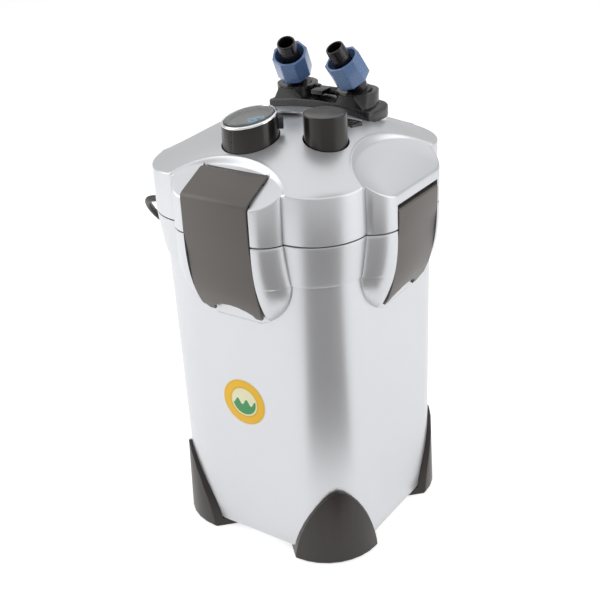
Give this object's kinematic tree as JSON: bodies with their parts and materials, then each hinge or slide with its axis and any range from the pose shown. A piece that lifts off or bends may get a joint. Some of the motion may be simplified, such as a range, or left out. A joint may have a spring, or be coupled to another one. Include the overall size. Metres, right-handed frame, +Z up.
{
  "type": "canister filter",
  "caption": "Upright canister filter with rounded square body, corner feet, over-centre lid latches, lamp unit, hand primer and angled hose connectors.",
  "frame": {"origin": "centre of the footprint on the floor", "axes": "+Z up, front latch towards -Y, hose connectors towards the rear"},
  "size_m": [0.3334, 0.3655, 0.4225],
  "materials": {
    "silver_shell": "satin silver paint on moulded plastic",
    "warm_grey": "satin warm grey",
    "foot_plastic": "satin near black",
    "gloss_black": "glossy black",
    "nut_blue": "satin blue",
    "rotor_white": "white",
    "basket_grey": "dark grey",
    "foam_blue": "open foam",
    "ceramic_media": "porous ceramic rings shown as one bed",
    "white_wool": "filter wool",
    "steel": "stainless",
    "white_ceramic": "polished",
    "seal_rubber": "soft",
    "window_clear": "clear",
    "quartz_glass": "clear quartz",
    "lamp_white": "frosted",
    "label_grey": "satin",
    "cord_black": "matt"
  },
  "bodies": {
    "vessel": {"canister": "silver_shell", "foot_front_right": "foot_plastic", "foot_rear_right": "foot_plastic", "foot_rear_left": "foot_plastic", "foot_front_left": "foot_plastic", "lid_cover": "silver_shell", "lid_gasket": "seal_rubber", "pump_head": "gloss_black", "impeller_cover": "gloss_black", "impeller_shaft": "white_ceramic", "upper_bush": "seal_rubber", "lower_bush": "seal_rubber", "riser_pipe": "gloss_black", "media_basket_1": "basket_grey", "media_basket_2": "basket_grey", "media_basket_3": "basket_grey", "foam_block": "foam_blue", "ceramic_rings": "ceramic_media", "fine_wool": "white_wool", "uv_housing": "warm_grey", "uv_window": "window_clear", "uv_label_disc": "label_grey", "uv_quartz_sleeve": "quartz_glass", "uv_lamp": "lamp_white", "primer_spring": "steel", "switch_frame": "gloss_black", "connector_plate": "gloss_black", "latch_pin_front": "steel", "latch_pin_right": "steel", "latch_pin_rear": "steel", "latch_pin_left": "steel", "cord_gland": "seal_rubber", "mains_cord": "cord_black", "cord_coil": "cord_black", "mains_plug": "cord_black", "cord_tie": "cord_black"},
    "front_latch": {"latch_front": "warm_grey"},
    "right_latch": {"latch_right": "warm_grey"},
    "rear_latch": {"latch_rear": "warm_grey"},
    "left_latch": {"latch_left": "warm_grey"},
    "primer": {"primer_button": "warm_grey"},
    "rocker": {"switch_rocker": "gloss_black"},
    "lever": {"release_lever": "gloss_black"},
    "left_connector": {"elbow_left": "gloss_black"},
    "right_connector": {"elbow_right": "gloss_black"},
    "left_nut": {"hose_nut_left": "nut_blue"},
    "right_nut": {"hose_nut_right": "nut_blue"},
    "rotor": {"impeller": "rotor_white"}
  },
  "joints": [
    {"name": "front_latch_pivot", "type": "hinge", "parent": "vessel", "child": "front_latch", "pos_m": [0, -0.086, 0.3425], "axis": [-1, 0, 0], "range_deg": [0, 60]},
    {"name": "right_latch_pivot", "type": "hinge", "parent": "vessel", "child": "right_latch", "pos_m": [0.11, 0, 0.314], "axis": [0, -1, 0], "range_deg": [0, 70]},
    {"name": "rear_latch_pivot", "type": "hinge", "parent": "vessel", "child": "rear_latch", "pos_m": [0, 0.11, 0.314], "axis": [1, 0, 0], "range_deg": [0, 70]},
    {"name": "left_latch_pivot", "type": "hinge", "parent": "vessel", "child": "left_latch", "pos_m": [-0.11, 0, 0.314], "axis": [0, 1, 0], "range_deg": [0, 70]},
    {"name": "primer_press", "type": "slide", "parent": "vessel", "child": "primer", "axis": [0, 0, -1], "range_m": [0, 0.012], "stiffness_N_per_m": 400, "springref_m": -0.01, "deforming": ["primer_spring"]},
    {"name": "switch_rock", "type": "hinge", "parent": "vessel", "child": "rocker", "pos_m": [0.041, 0.0152, 0.36177], "axis": [0.1736, 0.9848, 0], "range_deg": [0, 16]},
    {"name": "lever_rock", "type": "hinge", "parent": "vessel", "child": "lever", "pos_m": [0, 0.052, 0.3749], "axis": [1, 0, 0], "range_deg": [0, 10]},
    {"name": "left_connector_swivel", "type": "hinge", "parent": "vessel", "child": "left_connector", "pos_m": [-0.03, 0.05, 0.3795], "axis": [0, 0, 1], "range_deg": [-70, 10]},
    {"name": "right_connector_swivel", "type": "hinge", "parent": "vessel", "child": "right_connector", "pos_m": [0.03, 0.05, 0.3795], "axis": [0, 0, 1], "range_deg": [-10, 70]},
    {"name": "left_nut_turn", "type": "hinge", "parent": "left_connector", "child": "left_nut", "pos_m": [-0.03, 0.05, 0.3825], "axis": [0.1192, -0.5163, 0.848], "continuous": true},
    {"name": "right_nut_turn", "type": "hinge", "parent": "right_connector", "child": "right_nut", "pos_m": [0.03, 0.05, 0.3825], "axis": [-0.1985, -0.4913, 0.848], "continuous": true},
    {"name": "impeller_spin", "type": "hinge", "parent": "vessel", "child": "rotor", "pos_m": [0.008, 0.008, 0.3], "axis": [0, 0, 1], "continuous": true}
  ]
}
